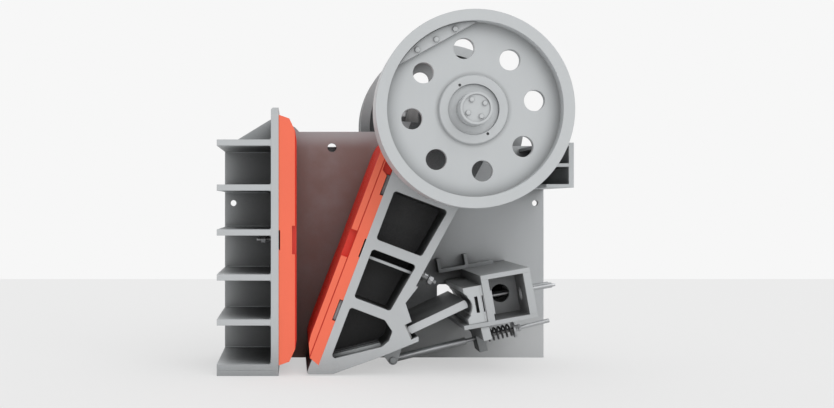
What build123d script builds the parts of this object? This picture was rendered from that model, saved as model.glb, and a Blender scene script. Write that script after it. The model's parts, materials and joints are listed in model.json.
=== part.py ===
from build123d import *
import os
from math import cos, hypot, radians, sin, tan

# Cutaway single-toggle jaw crusher. The near side plate is left off, so the inside stands open.
# Millimetres and degrees. +X runs from the feed wall to the toggle end, +Y to the far side plate, +Z up.

# Frame
chamber_width = 900
rear_reach = 768
side_plate = 50
side_peak_rise = 35
side_front_drop = 218
side_peak_lead = 23
side_slope_run = 117
side_slope_end = 35
side_slope_foot = 33
side_bench_tail = 20
side_rear_slope = 40
side_rear_height = 1659
lifting_hole_r = 23.5
lifting_hole_inset = 66
lifting_hole_height = 1211
inspection_hole_r = 35
inspection_hole_reach = 407
inspection_hole_drop = 124
window_width = 149
window_height = 154
window_lead = 45
window_drop = 18
window_corner = 20

# Front wall, its ribs and its sole plate
rib_depth = 379
rib_thickness = 43
rib_count = 6
rib_top_rise = 8
front_wall_thickness = 54
front_wall_rise = 13
front_wall_bevel = 13
sole_thickness = 38
sole_bolt_pitch = 250
anchor_hole_r = 21

# Outside of the far side plate
foot_width = 140
foot_bolt_pitch = 600
outer_rib_depth = 100
outer_rib_thickness = 35
mid_rib_height = 760
top_rib_height = 1612
upright_front_inset = 100
upright_jaw_reach = 257
upright_shaft_lead = 442
upright_rear_inset = 130

# Jaw plates
jaw_base = 75
tooth_height = 51
tooth_pitches = 11
tooth_flat_share = 0.16
jaw_plate_length = 1757
jaw_end_rise = 44
jaw_floor_gap = 73
jaw_nose = 90
jaw_nose_back = 9
discharge_gap = 100
fixed_jaw_side_gap = 5
tooth_edge_bevel = 12
fixed_notch_depth = 32
side_notch_length = 200
side_notch_width = 45
back_relief_length = 137
back_relief_depth = 10
key_relief_offset = 470
key_relief_length = 155
key_relief_depth = 25
edge_groove_width = 7
edge_groove_depth = 9
shoulder_start = 1400
shoulder_slant = 40
shoulder_inset = 28
shoulder_land = 8

# Eccentric shaft
eccentricity = 12
eccentric_angle = -85
journal_r = 120
eccentric_r = 150
running_gap = 0.3

# Swing jaw, measured from the shaft axis: back from the chamber, down along the jaw
jaw_lean = 20.8
swing_side_gap = 10
seat_forward = 328
swing_top_down = 180
swing_wall = 63
swing_web = 40
head_r = 322
head_back = 254
head_back_down = 198
head_chamber_r = 235
head_chamber_width = 560
back_reach = 194
back_reach_down = 642
back_taper = 0.1345
back_step_down = 1244
back_step = 16
waist_back = 87
waist_down = 1380
knuckle_inset = 5
knuckle_rise = 82
knuckle_reach = 94
knuckle_fall = 34
knuckle_bevel_run = 9
knuckle_bevel_rise = 23
heel_back = 65
heel_fall = 225
toe_inset = 12
toe_depth = 110
toe_bevel = 34
nose_reach = 58
floor_gap = 12
pocket_top = 670
pocket_height = 365
pocket_cross_rib = 72
pocket_back_wall = 53
pocket_back_growth = 0.028
pocket_corner = 22
pocket_rib = 20
pocket_rib_drop = 53
pocket_rib_inset = 60
seat_wall = 102
lower_pocket_ceiling = 180
lower_pocket_rise = 35
lower_pocket_fall = 105
lower_pocket_turn_run = 31
lower_pocket_turn_fall = 57
toe_wall = 67
ledge_count = 3
ledge_height = 20
ledge_thickness = 22
ledge_pitch = 85
key_height = 20
key_end_gap = 5
key_inset = 20
wedge_height = 68
wedge_drop = 18
seal_r = 235
seal_thickness = 25

# Toggle and its seats
toggle_thickness = 57
toggle_width = 800
toggle_length = 453
toggle_turn = 25.2
toggle_tip_r = 60
toggle_play = 26
seat_back = 174.5
seat_down = 1565
seat_insert = 12
notch_above = 26
notch_below = 30

# Toggle beam, a box tilted up to the rear
beam_tilt = 10
beam_length = 350
beam_depth = 356
beam_top = 33
beam_bottom = 30
beam_front_wall = 50
beam_rear_wall = 53
beam_lip = 173
diaphragm_y = 116
diaphragm_thickness = 30
diaphragm_hole_r = 66.5
block_back_gap = 20
block_depth = 90
block_lip = 24
block_lip_height = 38
block_top = 65
block_slot_width = 22
block_slot_height = 115
block_slot_place = 44
end_slot_depth = 60
shim_slot_width = 8
groove_drop = 172
groove_depth = 18
wall_pad_height = 166
wall_pad_thickness = 10
wall_pad_width = 60
retaining_rod_r = 18
retaining_rod_y = 60
retaining_rod_reach = 220
rod_hole_gap = 3
access_hole_r = 48
access_hole_y = 244
guide_width = 110
guide_thickness = 28
guide_reach = 183
guide_tail = 245
gusset_place = 29
gusset_height = 82
gusset_thickness = 24

# Tension rod, spring and bracket
eye_along = 74
eye_drop = 117
rod_rise = 13.8
eye_r = 36
eye_width = 56
tension_rod_r = 27
tension_thread_r = 15
tension_thick_end = 560
tension_rod_length = 1198
bracket_place = 630
bracket_thickness = 60
bracket_drop = 90
bracket_skirt = 39
bracket_tongue = 220
spring_r = 50
spring_wire_r = 8
spring_length = 216
spring_turns = 6
washer_r = 62
washer_thickness = 14
spring_turn_sides = 12
spring_wire_sides = 6
lug_start = 14
lug_length = 210
lug_gap = 6
lug_cheek = 25
lug_base = 25
lug_base_margin = 25
lug_pin_r = 22
lug_pin_head = 12

# Rear top beam
rear_wall_thickness = 35
rear_beam_bottom = 1319
rear_beam_top = 1634
rear_beam_reach = 157
rear_shelf_thickness = 24

# Bearing housing on the far side plate
housing_r = 255
housing_foot = 350
housing_foot_thickness = 60
housing_width = 174

# Flywheels
wheel_r = 655
wheel_width = 260
wheel_face = 913
rim_thickness = 75
web_recess = 90
web_thickness = 50
hub_r = 237
hub_taper = 12
hub_recess = 66
hub_bore_r = 170
hub_back = 20
wheel_holes = 8
wheel_hole_r = 70
wheel_hole_offset = 3.5
near_hole_phase = 8.5
far_hole_phase = 22.5
wheel_seat_r = 110
ring_recess = 88
shaft_reach = 25
cap_thickness = 20
cap_inset = 3
cap_rim = 16
cap_recess = 8
belt_grooves = 5
belt_pitch = 44
belt_depth = 26
belt_top_width = 30
belt_angle = 18
weight_angle = 118.8
weight_height = 83
weight_thickness = 50
weight_gap = 2

# Places that follow from the sizes above
lean_cos = cos(radians(jaw_lean))
lean_sin = sin(radians(jaw_lean))
half_width = chamber_width / 2
side_outer = half_width + side_plate
swing_half = half_width - swing_side_gap
jaw_thickness = jaw_base + tooth_height
swing_plate_bottom = swing_top_down + wedge_height + jaw_plate_length
rim_inner_r = wheel_r - rim_thickness
wheel_hole_ring = (hub_r + rim_inner_r) / 2 + wheel_hole_offset
weight_chord = rim_inner_r - weight_height
lower_tip_reach = (seat_forward + jaw_thickness) * lean_cos + (swing_plate_bottom - 2 * jaw_nose) * lean_sin
jaw_to_shaft = jaw_thickness + discharge_gap + lower_tip_reach
frame_length = rib_depth + front_wall_thickness + jaw_to_shaft + rear_reach
front_x = -frame_length / 2
rear_x = frame_length / 2
wall_front_x = front_x + rib_depth
jaw_seat_x = wall_front_x + front_wall_thickness
shaft_x = jaw_seat_x + jaw_to_shaft
shaft_z = jaw_floor_gap + swing_plate_bottom * lean_cos - seat_forward * lean_sin
bench_height = shaft_z - housing_foot_thickness
side_peak_height = shaft_z + side_peak_rise
side_front_height = side_peak_height - side_front_drop
front_wall_height = side_peak_height + front_wall_rise
rib_pitch = (side_front_height + rib_top_rise - rib_thickness - sole_thickness) / (rib_count - 1)
eccentric_x = shaft_x + eccentricity * cos(radians(eccentric_angle))
eccentric_z = shaft_z + eccentricity * sin(radians(eccentric_angle))


def turned_point(origin_x, origin_z, turn, along, up):
    """The frame X and Z of a point in a tilted piece's own coordinates."""
    c, s = cos(radians(turn)), sin(radians(turn))
    return origin_x + along * c - up * s, origin_z + along * s + up * c


def swing_point(back, up):
    return turned_point(shaft_x, shaft_z, -jaw_lean, back, up)


def lower_edge(along, drop):
    """A point on the swing jaw's lower edge behind its heel, or squarely below it."""
    back, up = heel_back, -(seat_down + heel_fall)
    run, rise = seat_back + knuckle_reach - back, -(seat_down + knuckle_fall) - up
    length = hypot(run, rise)
    return back + (along * run + drop * rise) / length, up + (along * rise - drop * run) / length


# The toggle runs from the swing jaw's seat up to the groove in the block, and the beam follows the groove
seat_x, seat_z = swing_point(seat_back, -seat_down)
toggle_front = seat_insert + running_gap
toggle_rear = toggle_front + toggle_length
groove_x, groove_z = turned_point(seat_x, seat_z, toggle_turn, toggle_rear + toggle_play, 0)
block_front = -(block_back_gap + block_depth)
beam_x, beam_z = turned_point(groove_x, groove_z, beam_tilt, -(block_front + groove_depth), groove_drop)
eye_x, eye_z = swing_point(*lower_edge(eye_along, eye_drop))
lower_edge_length = hypot(seat_back + knuckle_reach - heel_back, heel_fall - knuckle_fall)


def polygon(points):
    """A flat face from its corners."""
    return make_face(Polyline(*points, close=True))


def rectangle(x_from, z_from, x_to, z_to):
    """A flat upright rectangle from two corners."""
    return Pos(x_from, z_from) * Rectangle(x_to - x_from, z_to - z_from, align=Align.MIN)


def across(face, y_from, y_to):
    """Stand a flat outline up in the XZ plane and give it its width between two Y planes."""
    return Pos(0, y_from, 0) * extrude(Plane.XZ * face, amount=y_to - y_from, dir=(0, 1, 0))


def in_swing(shape):
    """From swing jaw coordinates (back, up the jaw) about the shaft axis to the frame."""
    return Pos(shaft_x, shaft_z) * Rot(0, 0, -jaw_lean) * shape


def in_beam(shape):
    """From toggle beam coordinates, whose origin is the beam's top front edge, to the frame."""
    return Pos(beam_x, beam_z) * Rot(0, 0, beam_tilt) * shape


def in_rod(shape):
    """From tension rod coordinates (along the rod, square to it) to the frame."""
    return Pos(eye_x, eye_z) * Rot(0, 0, rod_rise) * shape


def in_toggle(shape):
    """From toggle coordinates, along the toggle from the swing jaw's seat, to the frame."""
    return Pos(seat_x, seat_z) * Rot(0, 0, toggle_turn) * shape


def beam_point(along, up):
    return turned_point(beam_x, beam_z, beam_tilt, along, up)


def rod_point(along, up):
    return turned_point(eye_x, eye_z, rod_rise, along, up)


def bar(place, y, turn, r, length):
    """A round bar that starts at a frame point and runs along a tilted line in the XZ plane."""
    line = Plane(origin=(place[0], y, place[1]), z_dir=(cos(radians(turn)), 0, sin(radians(turn))))
    return line * Cylinder(r, length, align=(Align.CENTER, Align.CENTER, Align.MIN))


def pin_y(x, z, r, y_from, y_to):
    """A round bar or hole along Y."""
    return across(Pos(x, z) * Circle(r), y_from, y_to)


def about_shaft(profile):
    """Turn a profile of (radius, Y) points round the shaft axis."""
    return Pos(shaft_x, 0, shaft_z) * revolve(polygon(profile), Axis.Y)


# Far side plate and what stiffens it
def far_side_plate():
    slope_end = jaw_seat_x + side_slope_run
    bench_end = shaft_x + housing_foot + side_bench_tail
    outline = polygon([
        (front_x, 0),
        (front_x, side_front_height),
        (wall_front_x - side_peak_lead, side_peak_height),
        (jaw_seat_x, side_peak_height),
        (slope_end, bench_height + side_slope_end),
        (slope_end + side_slope_foot, bench_height),
        (bench_end, bench_height),
        (bench_end + side_rear_slope, side_rear_height),
        (rear_x, side_rear_height),
        (rear_x, 0),
    ])
    outline -= Pos(shaft_x, shaft_z) * Circle(housing_r + running_gap)
    window = RectangleRounded(window_width, window_height, window_corner)
    outline -= Pos(groove_x - window_lead, groove_z - window_drop) * window
    inspection_hole = Pos(jaw_seat_x + inspection_hole_reach, bench_height - inspection_hole_drop)
    outline -= inspection_hole * Circle(inspection_hole_r)
    for x in (front_x + lifting_hole_inset, rear_x - lifting_hole_inset):
        outline -= Pos(x, lifting_hole_height) * Circle(lifting_hole_r)
    return across(outline, half_width, side_outer)


def far_foot():
    foot = Box(frame_length, foot_width, sole_thickness, align=(Align.CENTER, Align.MIN, Align.MIN))
    foot = Pos(0, side_outer, 0) * foot
    middle = side_outer + foot_width / 2
    for step in range(4):
        x = (step - 1.5) * foot_bolt_pitch
        foot -= Pos(x, middle, 0) * Cylinder(anchor_hole_r, 3 * sole_thickness)
    return foot


rib_outer = side_outer + outer_rib_depth
top_rib_end = shaft_x - housing_foot - outer_rib_thickness


def far_rib_top():
    face = rectangle(front_x, top_rib_height, top_rib_end, top_rib_height + outer_rib_thickness)
    return across(face, side_outer, rib_outer)


def far_rib_mid():
    face = rectangle(front_x, mid_rib_height, rear_x, mid_rib_height + outer_rib_thickness)
    return across(face, side_outer, rib_outer)


def far_ribs_upright():
    ribs = []
    places = (front_x + upright_front_inset, jaw_seat_x + upright_jaw_reach,
              shaft_x - upright_shaft_lead, rear_x - upright_rear_inset)
    for x in places:
        upper_end = top_rib_height if x + outer_rib_thickness < top_rib_end else side_rear_height
        for z_from, z_to in ((sole_thickness, mid_rib_height),
                             (mid_rib_height + outer_rib_thickness, upper_end)):
            ribs.append(across(rectangle(x, z_from, x + outer_rib_thickness, z_to), side_outer, rib_outer))
    return Compound(children=ribs)


# Front of the frame
def front_wall():
    face = rectangle(wall_front_x, sole_thickness, jaw_seat_x, front_wall_height)
    face = chamfer(face.vertices().group_by(Axis.Y)[-1].sort_by(Axis.X)[0], front_wall_bevel)
    return across(face, -half_width, half_width)


def front_rib(index):
    bottom = sole_thickness + index * rib_pitch
    face = rectangle(front_x, bottom, wall_front_x, bottom + rib_thickness)
    return across(face, -half_width, half_width)


def front_sole_plate():
    length = rib_depth + front_wall_thickness
    sole = Box(length, chamber_width, sole_thickness, align=(Align.MIN, Align.CENTER, Align.MIN))
    sole = Pos(front_x, 0, 0) * sole
    for step in range(4):
        y = (step - 1.5) * sole_bolt_pitch
        sole -= Pos(front_x + rib_depth / 4, y, 0) * Cylinder(anchor_hole_r, 3 * sole_thickness)
    return sole


# Jaw plates: a base with trapezoid teeth that run along the jaw
def toothed_section(width, edge_teeth):
    """Plate section as (depth, Y) points: the back lies at depth 0, the tips at jaw_thickness.

    With edge_teeth the tips of the outermost teeth lie on the plate's edges, which are bevelled.
    Otherwise the pattern is half a pitch over, and the outermost teeth run out flat to the edges.
    """
    pitch = width / tooth_pitches
    flat = tooth_flat_share * pitch
    bevel = tooth_edge_bevel if edge_teeth else 0
    edge = width / 2
    points = [(0, -edge), (jaw_thickness - bevel, -edge)]
    if bevel:
        points.append((jaw_thickness, -edge + bevel))
    first_tip = 0 if edge_teeth else 0.5
    valleys = tooth_pitches if edge_teeth else tooth_pitches - 1
    for step in range(valleys):
        tip = -edge + (step + first_tip) * pitch
        valley = tip + pitch / 2
        points.append((jaw_thickness, tip + flat))
        points.append((jaw_base, valley - flat))
        points.append((jaw_base, valley + flat))
        points.append((jaw_thickness, tip + pitch - flat))
    if bevel:
        points.append((jaw_thickness, edge - bevel))
    return points + [(jaw_thickness - bevel, edge), (0, edge)]


def jaw_side_outline(reliefs):
    """Side view of a jaw plate as (depth, along) points from its lower back corner."""
    rise_at_base = jaw_end_rise * jaw_base / jaw_thickness
    outline = polygon([
        (0, 0),
        (jaw_base, rise_at_base),
        (jaw_thickness - jaw_nose_back, rise_at_base + jaw_nose),
        (jaw_thickness, 2 * jaw_nose),
        (jaw_thickness, jaw_plate_length - 2 * jaw_nose),
        (jaw_thickness - jaw_nose_back, jaw_plate_length - rise_at_base - jaw_nose),
        (jaw_base, jaw_plate_length - rise_at_base),
        (0, jaw_plate_length),
    ])
    for place, length, depth in reliefs:
        outline -= rectangle(-1, place - length / 2, depth, place + length / 2)
    return outline


def cut_edges(plate, width, face, depth):
    """Cut a side view face into both long edges of a jaw plate."""
    edge = width / 2
    return plate - across(face, -edge - 1, -edge + depth) - across(face, edge - depth, edge + 1)


def jaw_plate(width, edge_teeth, reliefs, notch_depth):
    """A jaw plate with its back on X=0, standing up from Z=0, and a lifting notch in each edge."""
    plate = extrude(polygon(toothed_section(width, edge_teeth)), amount=jaw_plate_length)
    plate &= across(jaw_side_outline(reliefs), -width, width)
    middle = jaw_plate_length / 2
    notch = rectangle(jaw_thickness - notch_depth, middle - side_notch_length / 2,
                      jaw_thickness + 1, middle + side_notch_length / 2)
    return cut_edges(plate, width, notch, side_notch_width)


middle_relief = (jaw_plate_length / 2, back_relief_length, back_relief_depth)
key_places = (jaw_plate_length / 2 - key_relief_offset, jaw_plate_length / 2 + key_relief_offset)


def fixed_jaw_plate():
    width = chamber_width - 2 * fixed_jaw_side_gap
    plate = jaw_plate(width, True, [middle_relief], fixed_notch_depth)
    return Pos(jaw_seat_x, 0, jaw_floor_gap) * plate


def moving_jaw_plate():
    width = 2 * swing_half
    reliefs = [(place, key_relief_length, key_relief_depth) for place in key_places]
    plate = jaw_plate(width, False, [middle_relief, *reliefs], tooth_height)
    groove = rectangle(jaw_base, -1, jaw_base + edge_groove_width, jaw_plate_length + 1)
    plate = cut_edges(plate, width, groove, edge_groove_depth)
    land = jaw_base - shoulder_land
    shoulder = polygon([
        (-1, shoulder_start),
        (land, shoulder_start + shoulder_slant),
        (land, jaw_plate_length + 1),
        (-1, jaw_plate_length + 1),
    ])
    plate = cut_edges(plate, width, shoulder, shoulder_inset)
    x, z = swing_point(-seat_forward, -swing_plate_bottom)
    return Pos(x, 0, z) * Rot(0, jaw_lean, 0) * Rot(0, 0, 180) * plate


# Swing jaw casting
pocket_front = -(seat_forward - swing_wall)
notch_half_low = toggle_thickness / 2 + notch_below
notch_half_high = toggle_thickness / 2 + notch_above


def back_line(down):
    """How far back the casting's straight rear face lies."""
    return back_reach - back_taper * (down - back_reach_down)


def pocket_back(down):
    wall = pocket_back_wall + pocket_back_growth * (down - back_reach_down)
    return back_line(down) - wall


def swing_outline():
    nose_front = -(seat_forward + nose_reach)
    plate_slope = jaw_end_rise / jaw_thickness
    step_back = back_line(back_step_down)
    body = polygon([
        (-seat_forward, -swing_top_down),
        (0, -head_r / 4),
        (head_back, -head_back_down),
        (back_reach, -back_reach_down),
        (step_back, -back_step_down),
        (step_back + back_step, -back_step_down),
        (waist_back, -waist_down),
        (seat_back - knuckle_inset, -(seat_down - knuckle_rise)),
        (seat_back + knuckle_reach - knuckle_bevel_run, -(seat_down + knuckle_fall - knuckle_bevel_rise)),
        lower_edge(lower_edge_length, 0),
        lower_edge(0, 0),
        (-seat_forward + toe_inset, -(swing_plate_bottom + toe_depth)),
        (nose_front, -(swing_plate_bottom + toe_depth - toe_bevel)),
        (nose_front, -swing_plate_bottom + plate_slope * nose_reach),
        (-seat_forward, -swing_plate_bottom),
    ])
    side = in_swing(body) + Pos(eccentric_x, eccentric_z) * Circle(head_r)
    side -= in_toggle(rectangle(0, -notch_half_low, 4 * toggle_thickness, notch_half_high))
    side -= rectangle(front_x, -wheel_r, rear_x, floor_gap)
    return side - Pos(eccentric_x, eccentric_z) * Circle(eccentric_r + running_gap)


def straight_pocket(index):
    """One of the upper pockets, between two cross ribs."""
    top = pocket_top + index * (pocket_height + pocket_cross_rib)
    bottom = top + pocket_height
    corners = [(pocket_front, -top), (pocket_back(top), -top),
               (pocket_back(bottom), -bottom), (pocket_front, -bottom)]
    return fillet(polygon(corners).vertices(), pocket_corner)


# Floor of the lower pocket, from its rear turn down to the toe
lower_floor_rear = (seat_back - seat_wall - lower_pocket_turn_run,
                    -(seat_down + lower_pocket_fall + lower_pocket_turn_fall))
lower_floor_toe = (pocket_front, -(swing_plate_bottom - toe_wall))


def lower_pocket():
    top = pocket_top + 2 * (pocket_height + pocket_cross_rib)
    rear = seat_back - seat_wall
    corners = [
        (pocket_front, -top),
        (seat_back - lower_pocket_ceiling, -top),
        (rear, -(seat_down + lower_pocket_rise)),
        (rear, -(seat_down + lower_pocket_fall)),
        lower_floor_rear,
        lower_floor_toe,
    ]
    return fillet(polygon(corners).vertices(), pocket_corner)


def floor_band():
    """Band along the lower pocket's floor, as high as its ledges, and sunk into the wall below."""
    run = lower_floor_rear[0] - lower_floor_toe[0]
    rise = lower_floor_rear[1] - lower_floor_toe[1]
    length = hypot(run, rise)
    out_back, out_up = -rise / length, run / length
    corners = []
    for (back, up), height in ((lower_floor_toe, -ledge_height), (lower_floor_rear, -ledge_height),
                               (lower_floor_rear, ledge_height), (lower_floor_toe, ledge_height)):
        corners.append((back + out_back * height, up + out_up * height))
    return polygon(corners)


def on_both_halves(face, from_face, to_face):
    """A face carried between two depths behind the casting's near and far faces."""
    face = in_swing(face)
    near = across(face, -swing_half + from_face, -swing_half + to_face)
    far = across(face, swing_half - to_face, swing_half - from_face)
    return [near, far]


def swing_jaw():
    casting = across(swing_outline(), -swing_half, swing_half)
    pocket_depth = swing_half - swing_web / 2
    upper, middle = straight_pocket(0), straight_pocket(1)
    lower = lower_pocket()
    for face in (upper, middle, lower):
        casting -= on_both_halves(face, 0, pocket_depth)
    rib_top = -(pocket_top + pocket_height + pocket_cross_rib + pocket_rib_drop)
    rib_line = rectangle(-2 * seat_forward, rib_top - pocket_rib, seat_forward, rib_top)
    casting += on_both_halves(middle & rib_line, pocket_rib_inset, pocket_depth)
    for step in range(ledge_count):
        start = (step + 1) * ledge_pitch
        casting += on_both_halves(lower & floor_band(), start, start + ledge_thickness)
    for place in key_places:
        middle_up = place - swing_plate_bottom
        half_key = key_relief_length / 2 - key_end_gap
        key = rectangle(-seat_forward - key_height, middle_up - half_key, -seat_forward, middle_up + half_key)
        casting += across(in_swing(key), -swing_half + key_inset, swing_half - key_inset)
    chamber_half = head_chamber_width / 2
    casting -= pin_y(eccentric_x, eccentric_z, head_chamber_r, -chamber_half, chamber_half)
    for y_from, y_to in ((-swing_half, -swing_half + seal_thickness),
                         (swing_half - seal_thickness, swing_half)):
        casting -= pin_y(eccentric_x, eccentric_z, seal_r + running_gap, y_from, y_to)
    return casting


def pitman_seals():
    ring = Pos(eccentric_x, eccentric_z) * (Circle(seal_r) - Circle(eccentric_r + running_gap))
    near = across(ring, -swing_half, -swing_half + seal_thickness)
    far = across(ring, swing_half - seal_thickness, swing_half)
    return Compound(children=[near, far])


def moving_jaw_wedge():
    """Clamp bar on the slanted top end of the moving jaw plate."""
    plate_top = -swing_plate_bottom + jaw_plate_length
    slope = jaw_end_rise / jaw_thickness
    front = -(seat_forward + nose_reach)
    face = polygon([
        (-seat_forward, plate_top),
        (-seat_forward, -swing_top_down),
        (front, -swing_top_down - wedge_drop),
        (front, plate_top - slope * nose_reach),
    ])
    return across(in_swing(face), -swing_half, swing_half)


def toggle_seat():
    face = rectangle(0, -notch_half_low + 1, seat_insert, notch_half_high - 1)
    face = chamfer(face.vertices().group_by(Axis.X)[-1], seat_insert / 3)
    return across(in_toggle(face), -toggle_width / 2, toggle_width / 2)


def toggle_plate():
    half = toggle_thickness / 2
    front_centre = toggle_front + toggle_tip_r
    rear_centre = toggle_rear - toggle_tip_r
    face = rectangle(front_centre, -half, rear_centre, half)
    bar_side = rectangle(toggle_front, -half, toggle_rear, half)
    for centre in (front_centre, rear_centre):
        face += Pos(centre, 0) * Circle(toggle_tip_r) & bar_side
    return across(in_toggle(face), -toggle_width / 2, toggle_width / 2)


# Lug under the swing jaw that pulls on the tension rod
def tension_lug():
    lug_end = lug_start + lug_length
    base_face = polygon([lower_edge(lug_start, 0), lower_edge(lug_end, 0),
                         lower_edge(lug_end, lug_base), lower_edge(lug_start, lug_base)])
    half = eye_width / 2 + lug_gap
    base_half = half + lug_cheek + lug_base_margin
    lug = across(in_swing(base_face), -base_half, base_half)
    root = in_swing(polygon([lower_edge(lug_start, 0), lower_edge(lug_end - lug_base, 0),
                             lower_edge(lug_end - lug_base, lug_base), lower_edge(lug_start, lug_base)]))
    tip = Pos(eye_x, eye_z) * Circle(eye_r)
    web = make_hull(root.edges() + tip.edges())
    for y in (-half - lug_cheek, half):
        lug += across(web, y, y + lug_cheek)
    lug += pin_y(eye_x, eye_z, lug_pin_r, half + lug_cheek, half + lug_cheek + lug_pin_head)
    lug += pin_y(eye_x, eye_z, lug_pin_r, -half - lug_cheek - lug_pin_head, -half - lug_cheek)
    return lug


# Toggle beam and what it carries
inner_top = -beam_top
inner_bottom = -beam_depth + beam_bottom
rod_line = (inner_bottom - block_top) / 2


def across_frame(face):
    return across(in_beam(face), -half_width, half_width)


def pair_of_holes(plate, r, half_spacing, along, thickness):
    for y in (-half_spacing, half_spacing):
        plate -= bar(beam_point(along - 1, rod_line), y, beam_tilt, r, thickness + 2)
    return plate


def rod_holes(plate, along, thickness):
    return pair_of_holes(plate, retaining_rod_r + rod_hole_gap, retaining_rod_y, along, thickness)


def cut_ends(piece, face, half):
    """Cut a slot into both ends of a piece that runs across the frame."""
    slot = in_beam(face)
    near = across(slot, -half - 1, -half + end_slot_depth)
    return piece - near - across(slot, half - end_slot_depth, half + 1)


def toggle_beam_top():
    return across_frame(rectangle(0, -beam_top, beam_length, 0))


def toggle_beam_bottom():
    return across_frame(rectangle(-beam_lip, -beam_depth, beam_length, inner_bottom))


def toggle_beam_front_wall():
    wall = across_frame(rectangle(0, inner_bottom, beam_front_wall, inner_top))
    pad = in_beam(rectangle(beam_front_wall, rod_line - wall_pad_height / 2,
                            beam_front_wall + wall_pad_thickness, rod_line + wall_pad_height / 2))
    wall += across(pad, -half_width, -half_width + wall_pad_width)
    wall += across(pad, half_width - wall_pad_width, half_width)
    return rod_holes(wall, 0, beam_front_wall)


def toggle_beam_rear_wall():
    inside_end = beam_length - beam_rear_wall
    wall = across_frame(rectangle(inside_end, inner_bottom, beam_length, inner_top))
    wall = pair_of_holes(wall, access_hole_r, access_hole_y, inside_end, beam_rear_wall)
    return rod_holes(wall, inside_end, beam_rear_wall)


def toggle_beam_diaphragms():
    inside_end = beam_length - beam_rear_wall
    face = rectangle(beam_front_wall, inner_bottom, inside_end, inner_top)
    face -= Pos((beam_front_wall + inside_end) / 2, (inner_bottom + inner_top) / 2) * Circle(diaphragm_hole_r)
    plates = []
    for y in (-diaphragm_y - diaphragm_thickness / 2, diaphragm_y - diaphragm_thickness / 2):
        plates.append(across(in_beam(face), y, y + diaphragm_thickness))
    return Compound(children=plates)


def toggle_block():
    back = -block_back_gap
    lip = block_front - block_lip
    face = polygon([
        (back, inner_bottom),
        (lip, inner_bottom),
        (lip, inner_bottom + block_lip_height),
        (block_front, inner_bottom + block_lip_height + block_lip),
        (block_front, -block_top - block_lip_height - block_lip),
        (lip, -block_top - block_lip_height),
        (lip, -block_top),
        (back, -block_top),
    ])
    groove = Pos(toggle_rear - toggle_tip_r, 0) * Circle(toggle_tip_r + toggle_play)
    block = across(in_beam(face) - in_toggle(groove), -swing_half, swing_half)
    slot = rectangle(block_front + block_slot_place, rod_line - block_slot_height / 2,
                     block_front + block_slot_place + block_slot_width, rod_line + block_slot_height / 2)
    return cut_ends(block, slot, swing_half)


def toggle_shims():
    """Packing between the block and the beam, slotted at its ends for lifting it out."""
    face = rectangle(-block_back_gap, inner_bottom, 0, -block_top)
    shims = across(in_beam(face), -swing_half, swing_half)
    middle = -block_back_gap / 2
    slot = rectangle(middle - shim_slot_width / 2, rod_line - block_slot_height / 2,
                     middle + shim_slot_width / 2, rod_line + block_slot_height / 2)
    return rod_holes(cut_ends(shims, slot, swing_half), -block_back_gap, block_back_gap)


def block_rods():
    length = block_back_gap + beam_length + retaining_rod_reach
    place = beam_point(-block_back_gap, rod_line)
    rods = [bar(place, y, beam_tilt, retaining_rod_r, length) for y in (-retaining_rod_y, retaining_rod_y)]
    return Compound(children=rods)


def toggle_guide():
    """Guide shelf on the far side plate, over the block, with two upright gussets."""
    y_from = half_width - guide_width
    guide = across(in_beam(rectangle(-guide_reach, 0, guide_tail, guide_thickness)), y_from, half_width)
    top = guide_thickness + gusset_height
    for along in (-guide_reach, gusset_place):
        face = rectangle(along, guide_thickness, along + gusset_thickness, top)
        guide += across(in_beam(face), y_from, half_width)
    return guide


# Tension rod group
spring_place = bracket_place + bracket_thickness + washer_thickness


def spring_bracket():
    """Bracket under the toggle beam, square to the tension rod, with a tongue that the rod passes."""
    top = 2 * beam_depth
    skirt = in_rod(rectangle(bracket_place, bracket_skirt, bracket_place + bracket_thickness, top))
    tongue = in_rod(rectangle(bracket_place, -bracket_drop, bracket_place + bracket_thickness, bracket_skirt))
    above = in_beam(rectangle(-beam_length * 2, -beam_depth, 3 * beam_length, 2 * beam_length))
    bracket = across(skirt - above, -swing_half, swing_half)
    bracket += across(tongue, -bracket_tongue / 2, bracket_tongue / 2)
    hole = bar(rod_point(bracket_place - 1, 0), 0, rod_rise, tension_thread_r + rod_hole_gap + 2,
               bracket_thickness + 2)
    return bracket - hole


def tension_rod():
    rod = bar(rod_point(0, 0), 0, rod_rise, tension_rod_r, tension_thick_end)
    rod += bar(rod_point(0, 0), 0, rod_rise, tension_thread_r, tension_rod_length)
    rod += pin_y(eye_x, eye_z, eye_r, -eye_width / 2, eye_width / 2)
    return rod


def spring_washers():
    washers = []
    for along in (spring_place - washer_thickness, spring_place + spring_length):
        disc = bar(rod_point(along, 0), 0, rod_rise, washer_r, washer_thickness)
        hole_r = tension_thread_r + running_gap
        washers.append(disc - bar(rod_point(along - 1, 0), 0, rod_rise, hole_r, washer_thickness + 2))
    return Compound(children=washers)


def tension_spring():
    """Coil of straight lengths between sections of the wire, which keeps its faces few."""
    coil_r = spring_r - spring_wire_r
    height = spring_length - 2 * spring_wire_r - 2 * running_gap
    steps = spring_turns * spring_turn_sides
    wire = Plane.XZ * RegularPolygon(spring_wire_r, spring_wire_sides, rotation=90)
    sections = []
    for step in range(steps + 1):
        turn = 360 * step / spring_turn_sides
        level = Pos(0, 0, height * step / steps) * Rot(0, 0, turn) * Pos(coil_r, 0, 0)
        sections.append(level * wire)
    start = rod_point(spring_place + spring_wire_r + running_gap, 0)
    axis = (cos(radians(rod_rise)), 0, sin(radians(rod_rise)))
    return Plane(origin=(start[0], 0, start[1]), z_dir=axis) * loft(sections, ruled=True)


# Rear top beam
def rear_beam_wall():
    face = rectangle(rear_x - rear_wall_thickness, rear_beam_bottom, rear_x, rear_beam_top)
    return across(face, -half_width, half_width)


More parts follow.
